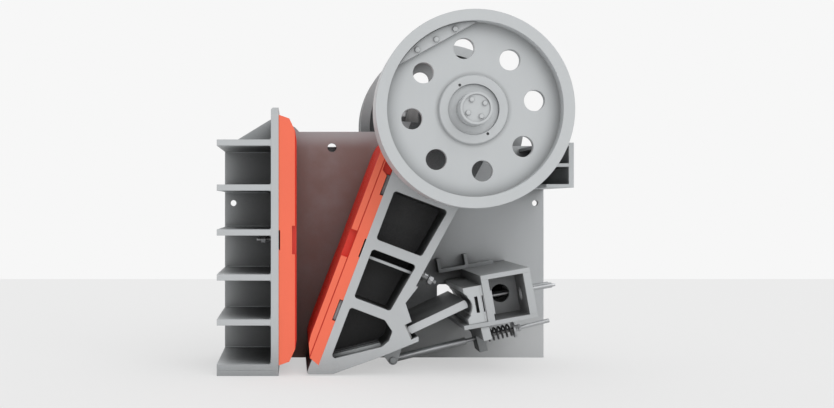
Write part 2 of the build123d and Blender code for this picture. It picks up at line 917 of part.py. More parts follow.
def rear_beam_shelves():
    inner = rear_x - rear_wall_thickness
    middle = (rear_beam_bottom + rear_beam_top - rear_shelf_thickness) / 2
    shelves = []
    for z in (rear_beam_bottom, middle, rear_beam_top - rear_shelf_thickness):
        face = rectangle(inner - rear_beam_reach, z, inner, z + rear_shelf_thickness)
        shelves.append(across(face, -half_width, half_width))
    return Compound(children=shelves)


# Bearing housing in the top edge of the far side plate
housing_inner = swing_half + swing_side_gap * 0.6


def housing_outline():
    foot = rectangle(shaft_x - housing_foot, bench_height, shaft_x + housing_foot, shaft_z)
    cap_ears = rectangle(shaft_x - housing_foot, shaft_z, shaft_x + housing_foot,
                         shaft_z + housing_foot_thickness)
    outline = Pos(shaft_x, shaft_z) * Circle(housing_r) + foot + cap_ears
    return outline - Pos(shaft_x, shaft_z) * Circle(journal_r + running_gap)


def far_bearing_housing():
    below = rectangle(front_x, 0, rear_x, shaft_z)
    return across(housing_outline() & below, housing_inner, housing_inner + housing_width)


def far_bearing_cap():
    above = rectangle(front_x, shaft_z, rear_x, 2 * shaft_z)
    return across(housing_outline() & above, housing_inner, housing_inner + housing_width)


# Shaft, flywheels and what turns with them
def outward(side, recess):
    """The Y of a plane that lies a recess behind a wheel's outer face."""
    return side * (wheel_face - recess)


def eccentric_shaft():
    seat_end = wheel_face - wheel_width - hub_back / 2
    end = wheel_face + shaft_reach
    shaft = about_shaft([
        (0, -end), (wheel_seat_r, -end), (wheel_seat_r, -seat_end), (journal_r, -seat_end),
        (journal_r, seat_end), (wheel_seat_r, seat_end), (wheel_seat_r, end), (0, end),
    ])
    return shaft + pin_y(eccentric_x, eccentric_z, eccentric_r, -swing_half, swing_half)


def rim_outside(side, grooved):
    """Outer line of the rim, from its outer face to its back, with the belt grooves of the sheave."""
    line = [(wheel_r, outward(side, 0))]
    if grooved:
        start = (wheel_width - (belt_grooves - 1) * belt_pitch) / 2
        bottom_width = belt_top_width - 2 * belt_depth * tan(radians(belt_angle))
        for groove in range(belt_grooves):
            middle = start + groove * belt_pitch
            line.append((wheel_r, outward(side, middle - belt_top_width / 2)))
            line.append((wheel_r - belt_depth, outward(side, middle - bottom_width / 2)))
            line.append((wheel_r - belt_depth, outward(side, middle + bottom_width / 2)))
            line.append((wheel_r, outward(side, middle + belt_top_width / 2)))
    line.append((wheel_r, outward(side, wheel_width)))
    return line


def flywheel(side, grooved, phase):
    web_back = web_recess + web_thickness
    hub_end = wheel_width - hub_back
    wheel = about_shaft([
        (hub_bore_r, outward(side, hub_recess)),
        (hub_r - hub_taper, outward(side, hub_recess)),
        (hub_r, outward(side, web_recess)),
        (rim_inner_r, outward(side, web_recess)),
        (rim_inner_r, outward(side, 0)),
        *rim_outside(side, grooved),
        (rim_inner_r, outward(side, wheel_width)),
        (rim_inner_r, outward(side, web_back)),
        (hub_r, outward(side, web_back)),
        (hub_r, outward(side, hub_end)),
        (hub_bore_r, outward(side, hub_end)),
    ])
    for step in range(wheel_holes):
        turn = radians(phase + step * 360 / wheel_holes)
        x = shaft_x + wheel_hole_ring * cos(turn)
        z = shaft_z + wheel_hole_ring * sin(turn)
        wheel -= pin_y(x, z, wheel_hole_r, min(outward(side, 0), 0), max(outward(side, 0), 0))
    return wheel


def both_sides(make):
    return Compound(children=[make(-1), make(1)])


def counterweight(side):
    disc = Circle(rim_inner_r - weight_gap)
    segment = disc & rectangle(weight_chord, -wheel_r, wheel_r, wheel_r)
    segment = Pos(shaft_x, shaft_z) * Rot(0, 0, weight_angle) * segment
    planes = sorted([outward(side, web_recess), outward(side, web_recess - weight_thickness)])
    return across(segment, *planes)


def hub_ring(side):
    """Locking ring between the shaft and the wheel's hub."""
    return about_shaft([
        (wheel_seat_r, outward(side, ring_recess)),
        (hub_bore_r, outward(side, ring_recess)),
        (hub_bore_r, outward(side, wheel_width - 2 * hub_back)),
        (wheel_seat_r, outward(side, wheel_width - 2 * hub_back)),
    ])


def shaft_cap(side):
    inner = -shaft_reach
    outer = -shaft_reach - cap_thickness
    r = wheel_seat_r - cap_inset
    return about_shaft([
        (0, outward(side, inner)),
        (r, outward(side, inner)),
        (r, outward(side, outer)),
        (r - cap_rim, outward(side, outer)),
        (r - cap_rim, outward(side, outer + cap_recess)),
        (0, outward(side, outer + cap_recess)),
    ])


pieces = {
    "far_side_plate": far_side_plate(),
    "far_foot": far_foot(),
    "far_rib_top": far_rib_top(),
    "far_rib_mid": far_rib_mid(),
    "far_ribs_upright": far_ribs_upright(),
    "front_wall": front_wall(),
    "front_sole_plate": front_sole_plate(),
    "fixed_jaw_plate": fixed_jaw_plate(),
    "swing_jaw": swing_jaw(),
    "moving_jaw_plate": moving_jaw_plate(),
    "moving_jaw_wedge": moving_jaw_wedge(),
    "pitman_seals": pitman_seals(),
    "toggle_seat": toggle_seat(),
    "tension_lug": tension_lug(),
    "toggle_plate": toggle_plate(),
    "toggle_block": toggle_block(),
    "toggle_shims": toggle_shims(),
    "toggle_beam_top": toggle_beam_top(),
    "toggle_beam_bottom": toggle_beam_bottom(),
    "toggle_beam_front_wall": toggle_beam_front_wall(),
    "toggle_beam_rear_wall": toggle_beam_rear_wall(),
    "toggle_beam_diaphragms": toggle_beam_diaphragms(),
    "toggle_guide": toggle_guide(),
    "block_rods": block_rods(),
    "spring_bracket": spring_bracket(),
    "tension_rod": tension_rod(),
    "tension_spring": tension_spring(),
    "spring_washers": spring_washers(),
    "rear_beam_wall": rear_beam_wall(),
    "rear_beam_shelves": rear_beam_shelves(),
    "far_bearing_housing": far_bearing_housing(),
    "far_bearing_cap": far_bearing_cap(),
    "eccentric_shaft": eccentric_shaft(),
    "near_flywheel": flywheel(-1, False, near_hole_phase),
    "far_flywheel": flywheel(1, True, far_hole_phase),
    "counterweights": both_sides(counterweight),
    "hub_rings": both_sides(hub_ring),
    "shaft_caps": both_sides(shaft_cap),
}
for index in range(rib_count):
    pieces[f"front_rib_{index + 1}"] = front_rib(index)

os.makedirs("parts", exist_ok=True)
for name, solid in pieces.items():
    export_step(solid, f"parts/{name}.step")
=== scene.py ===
import json
from math import atan2, cos, pi, radians, sin

import bpy
from mathutils import Matrix, Vector


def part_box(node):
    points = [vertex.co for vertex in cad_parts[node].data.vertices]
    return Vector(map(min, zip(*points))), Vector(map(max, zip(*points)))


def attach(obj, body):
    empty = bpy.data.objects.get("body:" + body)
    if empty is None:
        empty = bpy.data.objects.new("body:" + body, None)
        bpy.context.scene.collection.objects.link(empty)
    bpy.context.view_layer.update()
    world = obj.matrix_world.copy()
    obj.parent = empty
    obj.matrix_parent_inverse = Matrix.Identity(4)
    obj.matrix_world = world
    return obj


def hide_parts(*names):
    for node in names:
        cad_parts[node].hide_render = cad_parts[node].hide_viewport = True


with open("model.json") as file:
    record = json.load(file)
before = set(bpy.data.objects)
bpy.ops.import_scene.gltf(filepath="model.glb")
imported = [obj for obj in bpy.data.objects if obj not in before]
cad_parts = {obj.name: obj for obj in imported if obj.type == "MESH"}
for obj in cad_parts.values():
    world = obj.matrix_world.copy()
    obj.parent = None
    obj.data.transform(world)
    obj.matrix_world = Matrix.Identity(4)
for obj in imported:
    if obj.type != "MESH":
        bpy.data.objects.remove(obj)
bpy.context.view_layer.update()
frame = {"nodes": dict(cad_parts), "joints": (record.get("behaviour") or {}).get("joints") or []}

# Camera: level and square to the machine's side, at the height and distance that the picture's
# perspective gives. The frame is shifted sideways because the picture is cropped from the left.
bpy.ops.object.select_all(action="DESELECT")
camera_place = (-0.716, -7.888, 1.204)
bpy.ops.object.camera_add(location=camera_place, rotation=(pi / 2, 0, 0))
camera = bpy.context.object
camera.data.sensor_width = 36
camera.data.lens = 45.87
camera.data.shift_x = 0.1487
camera.data.clip_end = 100
bpy.context.scene.camera = camera
bpy.context.scene.view_settings.view_transform = "Standard"

# Floor: a plain pale studio floor, which the camera sees with a light shadow. Its far edge is the line
# behind the machine, and the bright background above that line is the world.
floor_far_edge = 9.17
floor_reach = 26.0
floor_grey = (0.81, 0.81, 0.81)
floor_seen_grey = (0.831, 0.831, 0.831)
floor_seen_share = 0.60
bpy.ops.mesh.primitive_plane_add(size=2, location=(0, floor_far_edge - floor_reach, 0))
floor = bpy.context.object
floor.name = "studio_floor"
floor.scale = (floor_reach, floor_reach, 1)
bpy.ops.object.transform_apply(location=True, rotation=False, scale=True)
floor_finish = bpy.data.materials.new("pale_floor")
floor_finish.use_nodes = True
floor_tree = floor_finish.node_tree
floor_shader = floor_tree.nodes["Principled BSDF"]
floor_shader.inputs["Base Color"].default_value = (*floor_grey, 1)
floor_shader.inputs["Roughness"].default_value = 0.9
floor_shader.inputs["Specular IOR Level"].default_value = 0.0
floor_glow = floor_tree.nodes.new("ShaderNodeEmission")
floor_glow.inputs["Color"].default_value = (*floor_seen_grey, 1)
floor_ray = floor_tree.nodes.new("ShaderNodeLightPath")
floor_share = floor_tree.nodes.new("ShaderNodeMath")
floor_share.operation = "MULTIPLY"
floor_share.inputs[1].default_value = floor_seen_share
floor_mix = floor_tree.nodes.new("ShaderNodeMixShader")
floor_tree.links.new(floor_ray.outputs["Is Camera Ray"], floor_share.inputs[0])
floor_tree.links.new(floor_share.outputs[0], floor_mix.inputs["Fac"])
floor_tree.links.new(floor_shader.outputs[0], floor_mix.inputs[1])
floor_tree.links.new(floor_glow.outputs[0], floor_mix.inputs[2])
floor_tree.links.new(floor_mix.outputs[0], floor_tree.nodes["Material Output"].inputs["Surface"])
floor.data.materials.append(floor_finish)

# Light: an even pale surround and two broad soft lamps, one over the viewer's right shoulder and one
# from above. The camera and mirror-like rays see the surround as the near-white background.
surround_strength = 0.75
background_grey = (0.93, 0.93, 0.93)
world = bpy.data.worlds.new("pale_surround")
bpy.context.scene.world = world
world.use_nodes = True
world_nodes = world.node_tree.nodes
world_links = world.node_tree.links
surround = world_nodes["Background"]
surround.inputs["Color"].default_value = (1, 1, 1, 1)
surround.inputs["Strength"].default_value = surround_strength
seen = world_nodes.new("ShaderNodeBackground")
seen.inputs["Color"].default_value = (*background_grey, 1)
ray = world_nodes.new("ShaderNodeLightPath")
camera_or_glossy = world_nodes.new("ShaderNodeMath")
camera_or_glossy.operation = "MAXIMUM"
any_seen = world_nodes.new("ShaderNodeMath")
any_seen.operation = "MAXIMUM"
pick = world_nodes.new("ShaderNodeMixShader")
world_links.new(ray.outputs["Is Camera Ray"], camera_or_glossy.inputs[0])
world_links.new(ray.outputs["Is Glossy Ray"], camera_or_glossy.inputs[1])
world_links.new(camera_or_glossy.outputs[0], any_seen.inputs[0])
world_links.new(ray.outputs["Is Transmission Ray"], any_seen.inputs[1])
world_links.new(any_seen.outputs[0], pick.inputs["Fac"])
world_links.new(surround.outputs[0], pick.inputs[1])
world_links.new(seen.outputs[0], pick.inputs[2])
world_links.new(pick.outputs[0], world_nodes["World Output"].inputs["Surface"])


def soft_lamp(name, direction, strength, spread):
    """A lamp so far off that its light is even, as wide in the sky as its spread in degrees."""
    aim = Vector(direction).to_track_quat("-Z", "Y").to_euler()
    bpy.ops.object.light_add(type="SUN", location=(0, 0, 6), rotation=aim)
    lamp = bpy.context.object
    lamp.name = name
    lamp.data.energy = strength
    lamp.data.angle = radians(spread)


soft_lamp("shoulder_lamp", (-0.45, 0.72, -0.53), 0.75, 50)
soft_lamp("top_lamp", (-0.15, 0.10, -0.98), 0.5, 60)

# Far side plate with its foot and outer ribs: rolled steel plate, flame cut, the ribs and the foot welded
# on with a fillet bead on both sides, under one coat of satin light grey paint. Inside, between the jaws, a
# painted red-brown tint stands for the light the jaws reflect onto it and the shade there, and a pale patch
# is painted low on it, at its foot under the toggle.
frame_grey = (0.50, 0.52, 0.53)
# The far side plate is painted darker than the rest of the frame: painted shade.
side_plate_shaded_grey = (0.465, 0.48, 0.49)
side_plate_shadow = (0.090, 0.092, 0.094)
grey_shadow = (0.035, 0.036, 0.038)


def new_group(name, ins, outs):
    """An empty shader node group with named sockets, given as (kind, name, value) and (kind, name)."""
    group = bpy.data.node_groups.new(name, "ShaderNodeTree")
    for kind, label, value in ins:
        socket = group.interface.new_socket(label, in_out="INPUT", socket_type="NodeSocket" + kind)
        socket.default_value = value
    for kind, label in outs:
        group.interface.new_socket(label, in_out="OUTPUT", socket_type="NodeSocket" + kind)
    return group, group.nodes.new("NodeGroupInput"), group.nodes.new("NodeGroupOutput")


def fed(group, socket, value):
    """Feed a socket from another socket, or set it to a plain number or vector."""
    if isinstance(value, (int, float, tuple)):
        socket.default_value = value
    else:
        group.links.new(value, socket)


def noise(group, vector, scale, detail):
    """Cloudy noise that reads a vector."""
    texture = group.nodes.new("ShaderNodeTexNoise")
    texture.inputs["Detail"].default_value = detail
    fed(group, texture.inputs["Scale"], scale)
    fed(group, texture.inputs["Vector"], vector)
    return texture.outputs["Fac"]


def ranged(group, value, low, high, soft=False):
    """A value read between two ends, clamped to 0 and 1."""
    node = group.nodes.new("ShaderNodeMapRange")
    if soft:
        node.interpolation_type = "SMOOTHSTEP"
    fed(group, node.inputs["Value"], value)
    fed(group, node.inputs["From Min"], low)
    fed(group, node.inputs["From Max"], high)
    return node.outputs["Result"]


def calculated(group, operation, *values):
    """A Math node fed by sockets or plain numbers."""
    node = group.nodes.new("ShaderNodeMath")
    node.operation = operation
    for socket, value in zip(node.inputs, values):
        fed(group, socket, value)
    return node.outputs[0]


def vector_step(group, operation, *values):
    """A Vector Math node fed by sockets or plain vectors."""
    node = group.nodes.new("ShaderNodeVectorMath")
    node.operation = operation
    for socket, value in zip(node.inputs, values):
        fed(group, socket, value)
    return node.outputs


def mixed(group, factor, first, second):
    """A colour between two others. Each is a socket or a plain colour."""
    node = group.nodes.new("ShaderNodeMix")
    node.data_type = "RGBA"
    group.links.new(factor, node.inputs["Factor"])
    for label, colour in (("A", first), ("B", second)):
        fed(group, node.inputs[label], (*colour, 1) if isinstance(colour, tuple) else colour)
    return node.outputs["Result"]


def soft_edge_group():
    """Rounded look of a cut or cast edge, and a mask of where paint wears thin along it."""
    group, given, result = new_group(
        "soft_edge",
        [("Float", "Radius", 0.005), ("Float", "Wear", 0.5)],
        [("Float", "Mask"), ("Vector", "Normal")])
    rounded = group.nodes.new("ShaderNodeBevel")
    rounded.samples = 4
    group.links.new(given.outputs["Radius"], rounded.inputs["Radius"])
    shape = group.nodes.new("ShaderNodeNewGeometry")
    facing = vector_step(group, "DOT_PRODUCT", rounded.outputs["Normal"], shape.outputs["Normal"])["Value"]
    place = group.nodes.new("ShaderNodeTexCoord")
    edge = ranged(group, facing, 0.97, 0.80)
    broken = ranged(group, noise(group, place.outputs["Object"], 9.0, 6.0), 0.40, 0.62)
    thin = calculated(group, "MULTIPLY", edge, broken)
    mask = calculated(group, "MULTIPLY", thin, given.outputs["Wear"])
    group.links.new(mask, result.inputs["Mask"])
    group.links.new(rounded.outputs["Normal"], result.inputs["Normal"])
    return group


def coat_group():
    """Tone of a coat: slow drifts of shade, faint runs down the sides, and the height of its fine grain."""
    group, given, result = new_group(
        "paint_coat",
        [("Color", "Color", (0.5, 0.5, 0.5, 1)), ("Float", "Drift", 0.06), ("Float", "Roughness", 0.45),
         ("Float", "Grain", 260.0)],
        [("Color", "Color"), ("Float", "Roughness"), ("Float", "Height")])
    place = group.nodes.new("ShaderNodeTexCoord")
    upright = group.nodes.new("ShaderNodeMapping")
    upright.inputs["Scale"].default_value = (7.0, 7.0, 0.6)
    group.links.new(place.outputs["Object"], upright.inputs["Vector"])
    slow = noise(group, place.outputs["Object"], 2.4, 5.0)
    runs = noise(group, upright.outputs["Vector"], 1.6, 3.0)
    both = calculated(group, "MULTIPLY_ADD", runs, 0.4, calculated(group, "MULTIPLY", slow, 0.6))
    centred = calculated(group, "SUBTRACT", both, 0.5)
    drift = calculated(group, "MULTIPLY_ADD", centred, given.outputs["Drift"], 1.0)
    shade = group.nodes.new("ShaderNodeVectorMath")
    shade.operation = "SCALE"
    group.links.new(given.outputs["Color"], shade.inputs[0])
    group.links.new(drift, shade.inputs["Scale"])
    dulled = calculated(group, "MULTIPLY_ADD", centred, 0.22, given.outputs["Roughness"])
    grain = noise(group, place.outputs["Object"], given.outputs["Grain"], 3.0)
    group.links.new(shade.outputs["Vector"], result.inputs["Color"])
    group.links.new(dulled, result.inputs["Roughness"])
    group.links.new(grain, result.inputs["Height"])
    return group


def painted_shade_group():
    """Painted shade: a darker colour in corners, pockets and other places that little light reaches."""
    group, given, result = new_group(
        "painted_recess_shade",
        [("Color", "Color", (0.5, 0.5, 0.5, 1)), ("Color", "Deep", (0.03, 0.03, 0.03, 1)),
         ("Float", "Reach", 0.4), ("Float", "Open", 0.75)],
        [("Color", "Color")])
    corner = group.nodes.new("ShaderNodeAmbientOcclusion")
    corner.samples = 8
    group.links.new(given.outputs["Reach"], corner.inputs["Distance"])
    opened = ranged(group, corner.outputs["AO"], 0.10, given.outputs["Open"], soft=True)
    shaded = mixed(group, opened, given.outputs["Deep"], given.outputs["Color"])
    group.links.new(shaded, result.inputs["Color"])
    return group


def painted_light_cover_group():
    """Where painted light and shade lie: on the side that faces a direction, clouded between thin and thick.
    """
    group, given, result = new_group(
        "painted_light_cover",
        [("Vector", "Toward", (0, 0, 1)), ("Float", "Least", 0.45), ("Float", "Full", 0.80),
         ("Float", "Thin", 0.7), ("Float", "Thick", 0.9)],
        [("Float", "Mask")])
    place = group.nodes.new("ShaderNodeTexCoord")
    facing = vector_step(group, "DOT_PRODUCT", place.outputs["Normal"], given.outputs["Toward"])["Value"]
    side = ranged(group, facing, given.outputs["Least"], given.outputs["Full"])
    clouds = ranged(group, noise(group, place.outputs["Object"], 3.2, 5.0), 0.30, 0.62)
    spread = calculated(group, "SUBTRACT", given.outputs["Thick"], given.outputs["Thin"])
    cover = calculated(group, "MULTIPLY_ADD", clouds, spread, given.outputs["Thin"])
    group.links.new(calculated(group, "MULTIPLY", side, cover), result.inputs["Mask"])
    return group


def fade_band_group():
    """A fade along a direction: nothing before its start, all of it past its end."""
    group, given, result = new_group(
        "fade_band",
        [("Vector", "Along", (0, 0, 1)), ("Float", "Start", 0.0), ("Float", "End", 1.0)],
        [("Float", "Mask")])
    place = group.nodes.new("ShaderNodeTexCoord")
    along = vector_step(group, "DOT_PRODUCT", place.outputs["Object"], given.outputs["Along"])["Value"]
    fade = ranged(group, along, given.outputs["Start"], given.outputs["End"], soft=True)
    group.links.new(fade, result.inputs["Mask"])
    return group


soft_edge = soft_edge_group()
paint_coat = coat_group()
painted_recess_shade = painted_shade_group()
painted_light_cover = painted_light_cover_group()
fade_band = fade_band_group()


def new_finish(name):
    """A new material with its shader."""
    material = bpy.data.materials.new(name)
    material.use_nodes = True
    return material


def placed_group(material, group, **values):
    """A group node in a material, with its own values on the named inputs."""
    node = material.node_tree.nodes.new("ShaderNodeGroup")
    node.node_tree = group
    for label, value in values.items():
        node.inputs[label].default_value = value
    return node


def coated(material, coat, recess, edges, worn, relief):
    """Wire a finish: the coat's tone, painted shade in recesses, worn along edges, over its fine relief."""
    tree = material.node_tree
    shader = tree.nodes["Principled BSDF"]
    bump = tree.nodes.new("ShaderNodeBump")
    bump.inputs["Distance"].default_value = relief
    tree.links.new(coat.outputs["Color"], recess.inputs["Color"])
    tone = mixed(tree, edges.outputs["Mask"], recess.outputs["Color"], worn)
    tree.links.new(tone, shader.inputs["Base Color"])
    tree.links.new(coat.outputs["Roughness"], shader.inputs["Roughness"])
    tree.links.new(coat.outputs["Height"], bump.inputs["Height"])
    tree.links.new(edges.outputs["Normal"], bump.inputs["Normal"])
    tree.links.new(bump.outputs["Normal"], shader.inputs["Normal"])


def brighter(colour, times):
    """A colour some times as bright, up to white."""
    return tuple(min(1, part * times) for part in colour)


def painted(name, colour, deep, reach, opening, wear=0.30, drift=0.12, roughness=0.48, grain=260.0,
            relief=0.00012, edge=0.006):
    """Paint on steel: coat tone, painted shade in recesses, edges worn a little lighter, and the grain
    underneath.
    """
    material = new_finish(name)
    coat = placed_group(material, paint_coat, Color=(*colour, 1), Drift=drift, Roughness=roughness,
                        Grain=grain)
    recess = placed_group(material, painted_recess_shade, Deep=(*deep, 1), Reach=reach, Open=opening)
    edges = placed_group(material, soft_edge, Radius=edge, Wear=wear)
    coated(material, coat, recess, edges, brighter(colour, 1.3), relief)
    return material


def overpainted(material, mask, colour):
    """Paint a colour over a finish where a mask is high."""
    tree = material.node_tree
    base = tree.nodes["Principled BSDF"].inputs["Base Color"]
    under = base.links[0].from_socket
    tree.links.new(mixed(tree, mask, under, colour), base)


def painted_light_patch(material, colour, toward, facing, cover, fades=()):
    """Painted light and shade on the side that faces a direction. Each fade goes from none of it to all of
    it.
    """
    tree = material.node_tree
    lying = placed_group(material, painted_light_cover, Toward=toward, Least=facing[0], Full=facing[1],
                         Thin=cover[0], Thick=cover[1])
    mask = lying.outputs["Mask"]
    for along, start, end in fades:
        fade = placed_group(material, fade_band, Along=along, Start=start, End=end)
        mask = calculated(tree, "MULTIPLY", mask, fade.outputs["Mask"])
    overpainted(material, mask, colour)


def finish_nodes(material, *names):
    """Put a finish on CAD nodes."""
    for name in names:
        mesh = frame["nodes"][name].data
        mesh.materials.clear()
        mesh.materials.append(material)


inward = (0, -1, 0)
rearward = (1, 0, 0)
upward = (0, 0, 1)
flat_side = (0.5, 0.9)
# A painted red-brown tint between the jaws: the light they reflect onto the plate, and the shade there.
reflected_red_shade = (0.20, 0.095, 0.070)
reflected_red_cover = (0.42, 0.72)
chamber_front = (-0.80, -0.76)
chamber_back = (0.05, -0.15)
chamber_top = (1.765, 1.625)
# A pale patch painted low on the plate behind the jaw, paler towards the bottom.
pale_patch = (0.55, 0.56, 0.565)
pale_patch_cover = (0.72, 0.92)
behind_jaw = (-0.30, 0.20)
pale_patch_top = (0.38, 0.20)
side_paint = painted("side_plate_paint", side_plate_shaded_grey, side_plate_shadow, 0.36, 0.86)
painted_light_patch(side_paint, reflected_red_shade, inward, flat_side, reflected_red_cover,
       [(rearward, *chamber_front), (rearward, *chamber_back), (upward, *chamber_top)])
painted_light_patch(side_paint, pale_patch, inward, flat_side, pale_patch_cover,
       [(rearward, *behind_jaw), (upward, *pale_patch_top)])
finish_nodes(side_paint, "far_side_plate")
plate_paint = painted("frame_plate_paint", frame_grey, grey_shadow, 0.6, 0.85)
finish_nodes(plate_paint, "far_foot", "far_rib_top", "far_rib_mid", "far_ribs_upright")

bead_r = 0.007
bead_ripple = 0.012
bead_crest = 0.7
bead_swell = 1.3


def weld_bead(start, end):
    """A fillet bead along a plate joint: one ripple of weld metal, laid again and again in a line."""
    run = Vector(end) - Vector(start)
    count = max(2, round(run.length / bead_ripple))
    step = run.length / count
    crest = bead_crest * step
    bpy.ops.object.select_all(action="DESELECT")
    bpy.ops.mesh.primitive_circle_add(vertices=6, radius=bead_r)
    bead = bpy.context.object
    bpy.ops.object.mode_set(mode="EDIT")
    bpy.ops.mesh.select_all(action="SELECT")
    for rise in (crest, step - crest):
        bpy.ops.mesh.extrude_region_move(TRANSFORM_OT_translate={"value": (0, 0, rise)})
    bpy.ops.object.mode_set(mode="OBJECT")
    for point in bead.data.vertices:
        if abs(point.co.z - crest) < step / 10:
            point.co.xy *= bead_swell
    row = bead.modifiers.new("row", "ARRAY")
    row.use_relative_offset = False
    row.use_constant_offset = True
    row.constant_offset_displace = (0, 0, step)
    row.count = count
    row.use_merge_vertices = True
    row.merge_threshold = 0.0005
    bpy.ops.object.modifier_apply(modifier="row")
    bpy.ops.object.mode_set(mode="EDIT")
    bpy.ops.mesh.select_all(action="SELECT")
    bpy.ops.mesh.fill_holes(sides=6)
    bpy.ops.mesh.normals_make_consistent(inside=False)
    bpy.ops.object.mode_set(mode="OBJECT")
    bpy.ops.object.shade_smooth_by_angle(angle=radians(60))
    bead.matrix_world = Matrix.Translation(start) @ run.to_track_quat("Z", "Y").to_matrix().to_4x4()
    return bead


def joined(name, pieces):
    """Several meshes as one named piece that sits at the origin."""
    bpy.ops.object.select_all(action="DESELECT")
    for piece in pieces:
        piece.select_set(True)
    bpy.context.view_layer.objects.active = pieces[0]
    if len(pieces) > 1:
        bpy.ops.object.join()
    whole = bpy.context.object
    whole.name = name
    bpy.ops.object.transform_apply(location=True, rotation=True, scale=True)
    return whole


def dressed(piece, material, body):
    """A finished piece: its material and the body it moves with."""
    piece.data.materials.clear()
    piece.data.materials.append(material)
    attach(piece, body)


plate_low, plate_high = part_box("far_side_plate")
inner_face = plate_low.y
outer_face = plate_high.y
rib_thickness = 0.035
mid_low, mid_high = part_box("far_rib_mid")
top_low, top_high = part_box("far_rib_top")
foot_low, foot_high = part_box("far_foot")
upright_low, upright_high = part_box("far_ribs_upright")
upright_sides = (upright_low.x, upright_low.x + rib_thickness, upright_high.x - rib_thickness, upright_high.x)
outer_beads = []
for low, high in ((mid_low, mid_high), (top_low, top_high)):
    for height in (low.z, high.z):
        outer_beads.append(weld_bead((low.x, outer_face, height), (high.x, outer_face, height)))
outer_beads.append(weld_bead((foot_low.x, outer_face, foot_high.z), (foot_high.x, outer_face, foot_high.z)))
for side in upright_sides:
    outer_beads.append(weld_bead((side, outer_face, foot_high.z), (side, outer_face, mid_low.z)))
    outer_beads.append(weld_bead((side, outer_face, mid_high.z), (side, outer_face, top_low.z)))
weld_paint = painted("weld_paint", frame_grey, grey_shadow, 0.10, 0.7, wear=0.5, edge=0.002)
dressed(joined("outer_rib_welds", outer_beads), weld_paint, "frame")

# Front wall, its six ribs and its sole plate: heavy plate, each rib welded along both faces to the wall
# and to the side plate. Two long bolts clamp the fixed jaw plate, with their nuts in front of the wall.
rib_names = [f"front_rib_{number}" for number in range(1, 7)]
finish_nodes(plate_paint, "front_wall", "front_sole_plate", *rib_names)
bead_inset = 0.003
front_beads = []
for name in rib_names:
    low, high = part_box(name)
    for height in (low.z, high.z):
        front_beads.append(weld_bead((high.x, low.y + bead_inset, height), (high.x, high.y, height)))
        front_beads.append(weld_bead((low.x, high.y, height), (high.x, high.y, height)))
dressed(joined("front_rib_welds", front_beads), weld_paint, "frame")


def turned(profile, steps=24):
    """A turned piece about the Z axis, from its half outline of (radius, height) points."""
    outline = bpy.data.meshes.new("turned")
    points = [(r, 0, z) for r, z in profile]
    outline.from_pydata(points, [(step, step + 1) for step in range(len(points) - 1)], [])
    piece = bpy.data.objects.new("turned", outline)
    bpy.context.collection.objects.link(piece)
    bpy.ops.object.select_all(action="DESELECT")
    piece.select_set(True)
    bpy.context.view_layer.objects.active = piece
    bpy.ops.object.mode_set(mode="EDIT")
    bpy.ops.mesh.select_all(action="SELECT")
    bpy.ops.mesh.spin(steps=steps, angle=2 * pi, center=(0, 0, 0), axis=(0, 0, 1))
    bpy.ops.mesh.select_all(action="SELECT")
    bpy.ops.mesh.remove_doubles(threshold=0.00002)
    bpy.ops.mesh.normals_make_consistent(inside=False)
    bpy.ops.object.mode_set(mode="OBJECT")
    bpy.ops.object.shade_smooth_by_angle(angle=radians(30))
    return piece


def hex_nut(flats, height, base):
    """A hexagon nut above a base height: a disc drawn out to six corners, which fall with the chamfer."""
    reach = flats / 2
    bpy.ops.object.select_all(action="DESELECT")
    bpy.ops.mesh.primitive_cylinder_add(vertices=24, radius=reach, depth=height)
    nut = bpy.context.object
    bpy.ops.object.mode_set(mode="EDIT")
    bpy.ops.mesh.select_mode(type="FACE")
    bpy.ops.mesh.select_all(action="DESELECT")
    bpy.ops.object.mode_set(mode="OBJECT")
    for face in nut.data.polygons:
        face.select = abs(face.normal.z) > 0.9
    bpy.ops.object.mode_set(mode="EDIT")
    bpy.ops.mesh.inset(thickness=reach * 0.06)
    bpy.ops.object.mode_set(mode="OBJECT")
    for point in nut.data.vertices:
        out = point.co.xy.length
        if out > reach * 0.97:
            turn = atan2(point.co.y, point.co.x) % (pi / 3) - pi / 6
            corner = reach / cos(turn)
            fall = (corner - reach) * 0.6
            point.co.xy *= corner / out
            point.co.z -= fall if point.co.z > 0 else -fall
        point.co.z += base + height / 2
    bpy.ops.object.shade_smooth_by_angle(angle=radians(30))
    return nut


def thread_line(r, start, end):
    """Half outline of a screw thread between two heights, with a chamfered end."""
    pitch = r * 0.28
    chamfer = r * 0.2
    count = max(2, round((end - start - chamfer) / pitch))
    step = (end - start - chamfer) / count
    line = []
    for turn in range(count):
        line.append((r, start + turn * step + step * 0.1))
        line.append((r * 0.88, start + turn * step + step * 0.6))
    return line + [(r * 0.94, end - chamfer), (r * 0.75, end)]


def nut_on_stud(thread, lead, free):
    """A stud's threaded end with a nut on a washer: thread diameter, length before the nut and after it."""
    r = thread / 2
    washer = thread * 0.16
    nut = thread * 0.85
    seat = lead + washer
    top = seat + nut + free
    line = [(0, 0), (r * 1.02, 0)]
    if lead > 0:
        line = [(0, 0), (r * 1.9, 0), (r * 1.9, washer), (r, washer)] + thread_line(r, washer, lead)
    line += [(r * 2.05, lead), (r * 2.05, lead + washer * 0.7), (r * 1.92, seat), (r, seat)]
    line += thread_line(r, seat + nut * 0.9, top) + [(0, top)]
    return joined("stud", [turned(line), hex_nut(thread * 1.6, nut, seat)])


def copies(name, model, places):
    """Copies of a model, each with its own mesh, set up at (place, direction) pairs as one piece."""
    pieces = []
    for place, direction in places:
        turn = Vector(direction).to_track_quat("Z", "Y").to_matrix().to_4x4()
        piece = model.copy()
        piece.data = model.data.copy()
        bpy.context.collection.objects.link(piece)
        piece.matrix_world = Matrix.Translation(place) @ turn
        pieces.append(piece)
    bpy.data.objects.remove(model)
    return joined(name, pieces)


# Painted shade for the corners of bare steel.
metal_corner_shade = (0.10, 0.09, 0.08)


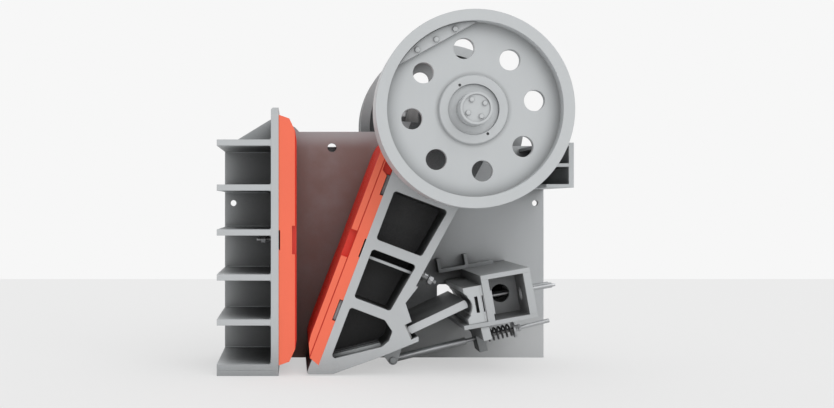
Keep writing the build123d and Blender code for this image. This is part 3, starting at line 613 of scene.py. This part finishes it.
def bare_metal(name, colour, roughness, grain):
    """Bare steel: cut or drawn grain, painted shade in corners, bright edges."""
    material = new_finish(name)
    material.node_tree.nodes["Principled BSDF"].inputs["Metallic"].default_value = 0.85
    coat = placed_group(material, paint_coat, Color=(*colour, 1), Drift=0.5, Roughness=roughness, Grain=grain)
    recess = placed_group(material, painted_recess_shade, Deep=(*metal_corner_shade, 1), Reach=0.06, Open=0.8)
    edges = placed_group(material, soft_edge, Radius=0.0015, Wear=0.6)
    coated(material, coat, recess, edges, brighter(colour, 1.4), 0.0001)
    return material


bolt_steel = bare_metal("bolt_steel", (0.50, 0.51, 0.52), 0.38, 420.0)
wall_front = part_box("front_wall")[0].x
liner_bolt = 0.030
liner_bolt_lead = 0.045
liner_bolt_free = 0.030
liner_bolt_height = 0.951
liner_bolt_spread = 0.22
liner_places = []
for side in (-1, 1):
    liner_places.append(((wall_front, side * liner_bolt_spread, liner_bolt_height), (-1, 0, 0)))
liner_nuts = copies("front_wall_liner_nuts", nut_on_stud(liner_bolt, liner_bolt_lead, liner_bolt_free),
                    liner_places)
dressed(liner_nuts, bolt_steel, "frame")

# Rear top beam: a plate across the back of the frame with three shelves welded to its front.
# Same plate and paint as the rest of the frame.
finish_nodes(plate_paint, "rear_beam_wall", "rear_beam_shelves")
shelf_low, shelf_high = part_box("rear_beam_shelves")
shelf_thickness = 0.024
shelf_middle = (shelf_low.z + shelf_high.z) / 2
shelf_edges = (shelf_low.z + shelf_thickness, shelf_middle - shelf_thickness / 2,
               shelf_middle + shelf_thickness / 2, shelf_high.z - shelf_thickness)
rear_beads = []
for height in shelf_edges:
    rear_beads.append(weld_bead((shelf_high.x, shelf_low.y + bead_inset, height),
                                (shelf_high.x, shelf_high.y, height)))
    rear_beads.append(weld_bead((shelf_low.x, shelf_high.y, height), (shelf_high.x, shelf_high.y, height)))
dressed(joined("rear_beam_welds", rear_beads), weld_paint, "frame")

# Far bearing housing and its cap: two castings bored together, the cap held down by four studs with
# nuts, and a grease nipple on its top.
joint_place = {joint["name"]: Vector(joint["pos_m"]) for joint in frame["joints"]}
shaft_line = joint_place["shaft_spin"]
casting_grey = (0.40, 0.415, 0.425)
# The housing's painted shade reaches far, so it stays dark behind the near wheel.
casting_paint = painted("housing_paint", casting_grey, (0.012, 0.012, 0.013), 1.8, 1.05, grain=140.0,
                        relief=0.0005)
finish_nodes(casting_paint, "far_bearing_housing", "far_bearing_cap")
cap_low, cap_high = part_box("far_bearing_cap")
cap_middle = (cap_low.y + cap_high.y) / 2
ear_rise = 0.060
ear_top = shaft_line.z + ear_rise
cap_stud = 0.036
cap_stud_free = 0.024
cap_stud_along = 0.302
cap_stud_aside = 0.045
cap_places = []
for along in (-cap_stud_along, cap_stud_along):
    for aside in (-cap_stud_aside, cap_stud_aside):
        cap_places.append(((shaft_line.x + along, cap_middle + aside, ear_top), (0, 0, 1)))
cap_nuts = copies("bearing_cap_nuts", nut_on_stud(cap_stud, 0, cap_stud_free), cap_places)
dressed(cap_nuts, bolt_steel, "frame")
nipple_line = [(0, -0.002), (0.011, -0.002), (0.011, 0.009), (0.006, 0.010), (0.006, 0.017), (0.004, 0.019),
               (0.004, 0.022), (0.006, 0.025), (0.005, 0.029), (0, 0.031)]
cap_nipple = copies("bearing_grease_nipple", turned(nipple_line),
                    [((shaft_line.x, cap_middle, cap_high.z), (0, 0, 1))])
dressed(cap_nipple, bolt_steel, "frame")

# Toggle beam: a box of four plates across the frame with two inner diaphragms, welded to the side plate.
# It stands at a slant, so its places are given along it and up from its top front corner.
beam_paint = painted("toggle_beam_paint", frame_grey, (0.18, 0.183, 0.186), 1.0, 0.95)
finish_nodes(beam_paint, "toggle_beam_top", "toggle_beam_bottom", "toggle_beam_front_wall",
             "toggle_beam_rear_wall")
diaphragm_paint = painted("diaphragm_paint", frame_grey, (0.24, 0.244, 0.248), 0.22, 0.72)
finish_nodes(diaphragm_paint, "toggle_beam_diaphragms")
beam_turn = radians(10)
beam_length = 0.350
beam_depth = 0.356
beam_lip = 0.173
beam_low, beam_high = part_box("toggle_beam_top")
beam_corner = Vector((beam_low.x, 0, beam_high.z - beam_length * sin(beam_turn)))
beam_along = Vector((cos(beam_turn), 0, sin(beam_turn)))
beam_up = Vector((-sin(beam_turn), 0, cos(beam_turn)))


def beam_point(along, up, y):
    """A point of the slanted beam, along it and up from its top front corner."""
    return beam_corner + along * beam_along + up * beam_up + Vector((0, y, 0))


beam_beads = []
beam_outline = (((0, 0), (beam_length, 0)), ((beam_length, 0), (beam_length, -beam_depth)),
                ((-beam_lip, -beam_depth), (beam_length, -beam_depth)))
for start, end in beam_outline:
    beam_beads.append(weld_bead(beam_point(*start, inner_face), beam_point(*end, inner_face)))
front_inside = 0.050
rear_inside = 0.297
top_inside = -0.033
bottom_inside = -0.326
diaphragm_inner = 0.101
diaphragm_outer = 0.131
cell_lengths = ((beam_low.y + bead_inset, -diaphragm_outer), (-diaphragm_inner, diaphragm_inner),
                (diaphragm_outer, inner_face))
for along in (front_inside, rear_inside):
    for up in (top_inside, bottom_inside):
        for y_from, y_to in cell_lengths:
            beam_beads.append(weld_bead(beam_point(along, up, y_from), beam_point(along, up, y_to)))
dressed(joined("toggle_beam_welds", beam_beads), weld_paint, "frame")

# Toggle block, its packing, its guide shelf and its two retaining rods: a machined cast block that takes
# the toggle, packed off the beam, drawn back by rods that pass the beam and end in nuts behind it.
# Painted shade darkens the block's top.
block_grey = (0.53, 0.55, 0.56)
# Painted shade on sides that face a direction: the tops of the toggle block and toggle plate, and the front
# of the swing jaw's head.
shade_dark = (0.045, 0.044, 0.043)
upper_side = (0.45, 0.80)
shade_cover = (0.72, 0.90)
block_paint = painted("toggle_block_paint", block_grey, grey_shadow, 0.30, 0.78, grain=180.0, relief=0.0003)
painted_light_patch(block_paint, shade_dark, upward, upper_side, shade_cover)
finish_nodes(block_paint, "toggle_block", "toggle_shims")
finish_nodes(plate_paint, "toggle_guide")
machined = bare_metal("machined_steel", (0.46, 0.47, 0.48), 0.36, 520.0)
finish_nodes(machined, "block_rods")
rod_line = -0.1955
rod_reach = 0.220
rod_end = beam_length + rod_reach
rod_spread = 0.060
rod_thread = 0.0365
rod_thread_free = 0.130
tip_line = [(0, -0.004), (0.012, -0.004), (0.012, 0.018), (0.009, 0.025), (0, 0.027)]
nut_places = []
tip_places = []
for side in (-1, 1):
    nut_places.append((beam_point(beam_length, rod_line, side * rod_spread), beam_along))
    tip_places.append((beam_point(rod_end, rod_line, side * rod_spread), beam_along))
rod_nuts = copies("retaining_rod_nuts", nut_on_stud(rod_thread, 0, rod_thread_free), nut_places)
dressed(rod_nuts, bolt_steel, "frame")
rod_tips = copies("retaining_rod_tips", turned(tip_line), tip_places)
dressed(rod_tips, bolt_steel, "frame")

# Toggle plate and its seat in the swing jaw: a cast iron plate with rounded ends, which is meant to
# break first, in a hard steel seat. Painted shade darkens its upper side.
light_grey = (0.55, 0.57, 0.58)
toggle_paint = painted("toggle_plate_paint", light_grey, grey_shadow, 0.15, 0.78, grain=110.0, relief=0.0005)
painted_light_patch(toggle_paint, shade_dark, upward, upper_side, shade_cover)
finish_nodes(toggle_paint, "toggle_plate")
finish_nodes(machined, "toggle_seat")

# Tension rod group: a steel rod from the swing jaw's lug through a bracket under the toggle beam, with a
# coil spring between two washers that pulls the jaw back, two nuts and a threaded end.
finish_nodes(plate_paint, "spring_bracket")
finish_nodes(machined, "tension_rod", "spring_washers")
rod_turn = radians(13.8)
eye_r = 0.036
eye_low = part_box("tension_rod")[0]
rod_eye = Vector((eye_low.x + eye_r, 0, eye_low.z + eye_r))
rod_along = Vector((cos(rod_turn), 0, sin(rod_turn)))
spring_start = 0.704
spring_length = 0.216
washer_thickness = 0.014
rod_length = 1.198
rod_r = 0.015
nut_flats = 0.048
nut_height = 0.026
nut_gap = 0.0005
lock_nut_height = nut_height * 0.7
lock_nut_start = nut_height + 3 * nut_gap
nut_start = spring_start + spring_length + washer_thickness
lock_nuts = [hex_nut(nut_flats, nut_height, nut_gap), hex_nut(nut_flats, lock_nut_height, lock_nut_start)]
thread_r = rod_r * 1.03
thread_start = nut_height * 1.5
thread_lead = 0.001
thread_end = rod_length - nut_start + 2 * thread_lead
end_thread = [(0, thread_start), (thread_r, thread_start)]
end_thread += thread_line(thread_r, thread_start + thread_lead, thread_end) + [(0, thread_end)]
tension_end = joined("tension_end", [*lock_nuts, turned(end_thread)])
tension_nuts = copies("tension_rod_nuts", tension_end, [(rod_eye + nut_start * rod_along, rod_along)])
dressed(tension_nuts, bolt_steel, "frame")

wire_r = 0.0078
wire_sides = 12
coil_r = 0.042
coil_turns = 6
coil_steps = 40
bpy.ops.object.select_all(action="DESELECT")
bpy.ops.mesh.primitive_circle_add(vertices=wire_sides, radius=wire_r, location=(coil_r, 0, wire_r),
                                  rotation=(pi / 2, 0, 0))
coil = bpy.context.object
bpy.ops.object.transform_apply(location=True, rotation=True)
wind = coil.modifiers.new("wind", "SCREW")
wind.axis = "Z"
wind.angle = 2 * pi
wind.steps = coil_steps
wind.render_steps = coil_steps
wind.iterations = coil_turns
wind.screw_offset = (spring_length - 2 * wire_r) / coil_turns
bpy.ops.object.modifier_apply(modifier="wind")
bpy.ops.object.mode_set(mode="EDIT")
bpy.ops.mesh.select_all(action="SELECT")
bpy.ops.mesh.fill_holes(sides=wire_sides)
bpy.ops.mesh.normals_make_consistent(inside=False)
bpy.ops.object.mode_set(mode="OBJECT")
bpy.ops.object.shade_smooth_by_angle(angle=radians(50))
spring_coil = copies("tension_spring_coil", coil, [(rod_eye + spring_start * rod_along, rod_along)])
spring_black = painted("spring_black", (0.035, 0.035, 0.036), (0.008, 0.008, 0.008), 0.05, 0.8, wear=0.5,
                       roughness=0.35, grain=300.0, edge=0.002)
dressed(spring_coil, spring_black, "frame")
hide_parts("tension_spring")

# Swing jaw: one heavy steel casting with blind pockets between its ribs, grey like the frame, with painted
# shade that makes it nearly black inside and dark on the front of its head. Bolts hold the seal rings of its
# head, and long liner bolts end on its back wall.
# The painted shade that makes the pockets nearly black.
pocket_shade = (0.027, 0.027, 0.028)
forward = (-1, 0, 0)
head_front_side = (0.35, 0.70)
head_front_cover = (0.86, 0.97)
head_front_foot = (1.62, 1.72)
cast_paint = painted("swing_jaw_paint", frame_grey, pocket_shade, 0.6, 0.75, grain=120.0, relief=0.0006)
painted_light_patch(cast_paint, shade_dark, forward, head_front_side, head_front_cover, [(upward, *head_front_foot)])
finish_nodes(cast_paint, "swing_jaw")
lug_paint = painted("tension_lug_paint", frame_grey, grey_shadow, 0.12, 0.75, grain=150.0, relief=0.0004)
finish_nodes(lug_paint, "tension_lug")
seal_paint = painted("seal_ring_paint", casting_grey, grey_shadow, 0.2, 0.8)
finish_nodes(seal_paint, "pitman_seals")
jaw_lean = radians(20.8)
swing_back = Vector((cos(jaw_lean), 0, -sin(jaw_lean)))
swing_up = Vector((sin(jaw_lean), 0, cos(jaw_lean)))
back_taper = 0.1345
back_top = 0.194
back_top_drop = 0.642
back_stud = 0.034
back_stud_lead = 0.070
back_stud_free = 0.026
back_stud_drop = 1.160
back_stud_pitch = 0.30
back_stud_depth = back_top - back_taper * (back_stud_drop - back_top_drop)
back_stud_base = shaft_line + back_stud_depth * swing_back - back_stud_drop * swing_up
back_stud_out = swing_back - back_taper * swing_up
back_places = []
for step in (-1, 0, 1):
    back_places.append((back_stud_base + Vector((0, step * back_stud_pitch, 0)), back_stud_out))
back_studs = copies("swing_jaw_liner_nuts", nut_on_stud(back_stud, back_stud_lead, back_stud_free),
                    back_places)
dressed(back_studs, bolt_steel, "pitman")
head_line = joint_place["pitman_swing"]
seal_low, seal_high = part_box("pitman_seals")
seal_bolt = 0.012
seal_bolt_ring = 0.214
seal_bolt_count = 8


def bolt_head(thread):
    """A hexagon bolt head on its washer."""
    rim = thread * 1.05
    top = thread * 0.17
    washer = turned([(0, 0), (rim, 0), (rim, thread * 0.12), (thread * 0.98, top), (0, top)])
    return joined("bolt_head", [washer, hex_nut(thread * 1.55, thread * 0.65, top)])


seal_places = []
for step in range(seal_bolt_count):
    turn = 2 * pi * (step + 0.5) / seal_bolt_count
    across = head_line + seal_bolt_ring * Vector((cos(turn), 0, sin(turn)))
    seal_places.append(((across.x, seal_low.y, across.z), (0, -1, 0)))
    seal_places.append(((across.x, seal_high.y, across.z), (0, 1, 0)))
seal_bolts = copies("seal_ring_bolts", bolt_head(seal_bolt), seal_places)
dressed(seal_bolts, bolt_steel, "pitman")

# Jaw plates: cast manganese steel with long teeth, sprayed orange, and the clamp bar over the moving one in
# machined steel.
# Painted light and shade split their orange: the outermost side faces show a lit bright orange, and the
# working faces, notches and shoulders a shaded deeper red.
# Painted light and shade: the lit orange of the outermost side faces, and the shaded red of the rest.
lit_side_orange = (0.93, 0.165, 0.085)
worn_orange = (1.0, 0.24, 0.13)
shaded_face_red = (0.70, 0.028, 0.010)
# The red that painted shade gives recesses and grooves, brighter than the shaded face red.
recess_painted_red = (0.85, 0.06, 0.03)
edge_line = 0.436


def jaw_plate_paint():
    """Orange paint on a rough casting, with painted light and shade: lit orange on its outermost side faces,
    shaded red on all that stands back.
    """
    material = new_finish("jaw_plate_paint")
    tree = material.node_tree
    place = tree.nodes.new("ShaderNodeTexCoord")
    facing = tree.nodes.new("ShaderNodeSeparateXYZ")
    tree.links.new(place.outputs["Normal"], facing.inputs[0])
    point = tree.nodes.new("ShaderNodeSeparateXYZ")
    tree.links.new(place.outputs["Object"], point.inputs[0])
    sideways = ranged(tree, calculated(tree, "ABSOLUTE", facing.outputs["Y"]), 0.80, 0.95)
    outermost = ranged(tree, calculated(tree, "ABSOLUTE", point.outputs["Y"]), edge_line, edge_line + 0.001)
    tone = mixed(tree, calculated(tree, "MULTIPLY", sideways, outermost), shaded_face_red, lit_side_orange)
    coat = placed_group(material, paint_coat, Drift=0.16, Roughness=0.50, Grain=90.0)
    recess = placed_group(material, painted_recess_shade, Deep=(*recess_painted_red, 1), Reach=0.06, Open=0.60)
    edges = placed_group(material, soft_edge, Radius=0.004, Wear=0.35)
    tree.links.new(tone, coat.inputs["Color"])
    coated(material, coat, recess, edges, worn_orange, 0.0007)
    return material


finish_nodes(jaw_plate_paint(), "fixed_jaw_plate", "moving_jaw_plate")
finish_nodes(machined, "moving_jaw_wedge")

# Eccentric shaft: one forged steel shaft, turned with its middle off the line of its ends, which carry
# the wheels. It is painted with the wheels where it stands out of them.
hub_shadow = (0.24, 0.245, 0.25)
shaft_paint = painted("shaft_paint", light_grey, hub_shadow, 0.04, 0.6, grain=320.0)
finish_nodes(shaft_paint, "eccentric_shaft")

# Flywheels: cast iron wheels with a turned rim and hub in light grey, each with a counterweight held by
# three bolts inside the rim, a locking ring in the hub and an end cap held by four bolts. Painted shade
# darkens the corners beside the hub and along the rim's foot.
wheel_paint = painted("wheel_paint", (0.54, 0.56, 0.57), (0.15, 0.153, 0.156), 0.13, 0.78, grain=150.0,
                      relief=0.0003)
# The far wheel's copy of the wheel paint, with painted shade that reaches far.
far_wheel_shaded_paint = painted("far_wheel_shaded_paint", block_grey, grey_shadow, 1.4, 1.0, grain=150.0, relief=0.0003)
ring_paint = painted("hub_ring_paint", light_grey, (0.34, 0.35, 0.355), 0.05, 0.7)
hub_boss_r = 0.237
rim_foot_r = 0.580
# Painted shade in the wheels' corners.
corner_shade = (0.12, 0.122, 0.125)
corner_shade_width = 0.045
corner_shade_strength = 0.26


def wheel_corner_shade_group():
    """Painted shade in a wheel's round corners: a line beside the hub, and a soft band along the rim's foot.
    """
    group, given, result = new_group(
        "wheel_corner_shade",
        [("Vector", "Middle", (0, 0, 0)), ("Float", "Hub", 0.2), ("Float", "Rim", 0.6),
         ("Float", "Width", 0.04), ("Float", "Strength", 0.5)],
        [("Float", "Mask")])
    place = group.nodes.new("ShaderNodeTexCoord")
    from_middle = vector_step(group, "SUBTRACT", place.outputs["Object"], given.outputs["Middle"])["Vector"]
    flat = vector_step(group, "MULTIPLY", from_middle, (1, 0, 1))["Vector"]
    out = vector_step(group, "LENGTH", flat)["Value"]
    past_hub = calculated(group, "SUBTRACT", out, given.outputs["Hub"])
    to_rim = calculated(group, "SUBTRACT", given.outputs["Rim"], out)
    hub_widths = calculated(group, "DIVIDE", past_hub, given.outputs["Width"])
    rim_widths = calculated(group, "DIVIDE", to_rim, given.outputs["Width"])
    near_hub = ranged(group, hub_widths, 0.6, 0.0, soft=True)
    near_rim = ranged(group, rim_widths, 2.4, 0.0, soft=True)
    hub_shade = calculated(group, "MULTIPLY", near_hub, calculated(group, "GREATER_THAN", past_hub, -0.008))
    rim_shade = calculated(group, "MULTIPLY", near_rim, calculated(group, "GREATER_THAN", to_rim, 0.0005))
    painted_corner_shade = calculated(group, "MAXIMUM", hub_shade, rim_shade)
    group.links.new(calculated(group, "MULTIPLY", painted_corner_shade, given.outputs["Strength"]), result.inputs["Mask"])
    return group


wheel_corner_shade = wheel_corner_shade_group()
for paint in (wheel_paint, far_wheel_shaded_paint):
    painted_corner_shade = placed_group(paint, wheel_corner_shade, Middle=shaft_line, Hub=hub_boss_r, Rim=rim_foot_r,
                        Width=corner_shade_width, Strength=corner_shade_strength)
    overpainted(paint, painted_corner_shade.outputs["Mask"], corner_shade)
finish_nodes(wheel_paint, "near_flywheel", "counterweights", "shaft_caps")
finish_nodes(far_wheel_shaded_paint, "far_flywheel")
finish_nodes(ring_paint, "hub_rings")
weight_low, weight_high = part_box("counterweights")
weight_turn = radians(118.8)
weight_out = Vector((cos(weight_turn), 0, sin(weight_turn)))
weight_aside = Vector((-sin(weight_turn), 0, cos(weight_turn)))
weight_bolt = 0.020
weight_bolt_reach = 0.523
weight_bolt_pitch = 0.142
end_low, end_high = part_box("shaft_caps")
cap_recess = 0.008
end_bolt = 0.018
end_bolt_ring = 0.063
first_end_bolt = radians(30)
hub_face = 0.847
lock_screw_ring = 0.186
weight_places = []
end_places = []
lock_places = []
for side, weight_face, end_face in ((-1, weight_low.y, end_low.y), (1, weight_high.y, end_high.y)):
    outward = (0, side, 0)
    for step in (-1, 0, 1):
        middle = shaft_line + weight_bolt_reach * weight_out + step * weight_bolt_pitch * weight_aside
        weight_places.append(((middle.x, weight_face, middle.z), outward))
    for step in range(4):
        turn = first_end_bolt + step * pi / 2
        middle = shaft_line + end_bolt_ring * Vector((cos(turn), 0, sin(turn)))
        end_places.append(((middle.x, end_face - side * cap_recess, middle.z), outward))
        if step % 2:
            middle = shaft_line + lock_screw_ring * Vector((cos(turn), 0, sin(turn)))
            lock_places.append(((middle.x, side * hub_face, middle.z), outward))
weight_bolts = copies("counterweight_bolts", bolt_head(weight_bolt), weight_places)
dressed(weight_bolts, wheel_paint, "shaft")
end_bolts = copies("shaft_cap_bolts", bolt_head(end_bolt), end_places)
dressed(end_bolts, wheel_paint, "shaft")
screw_line = [(0, 0.0006), (0.006, 0.0006), (0.0075, 0.0014), (0.0085, 0.0014), (0.0095, 0), (0, -0.002)]
lock_screws = copies("hub_lock_screws", turned(screw_line), lock_places)
screw_black = painted("screw_black", (0.012, 0.012, 0.013), (0.006, 0.006, 0.006), 0.02, 0.8, wear=0.1,
                      edge=0.001)
dressed(lock_screws, screw_black, "shaft")
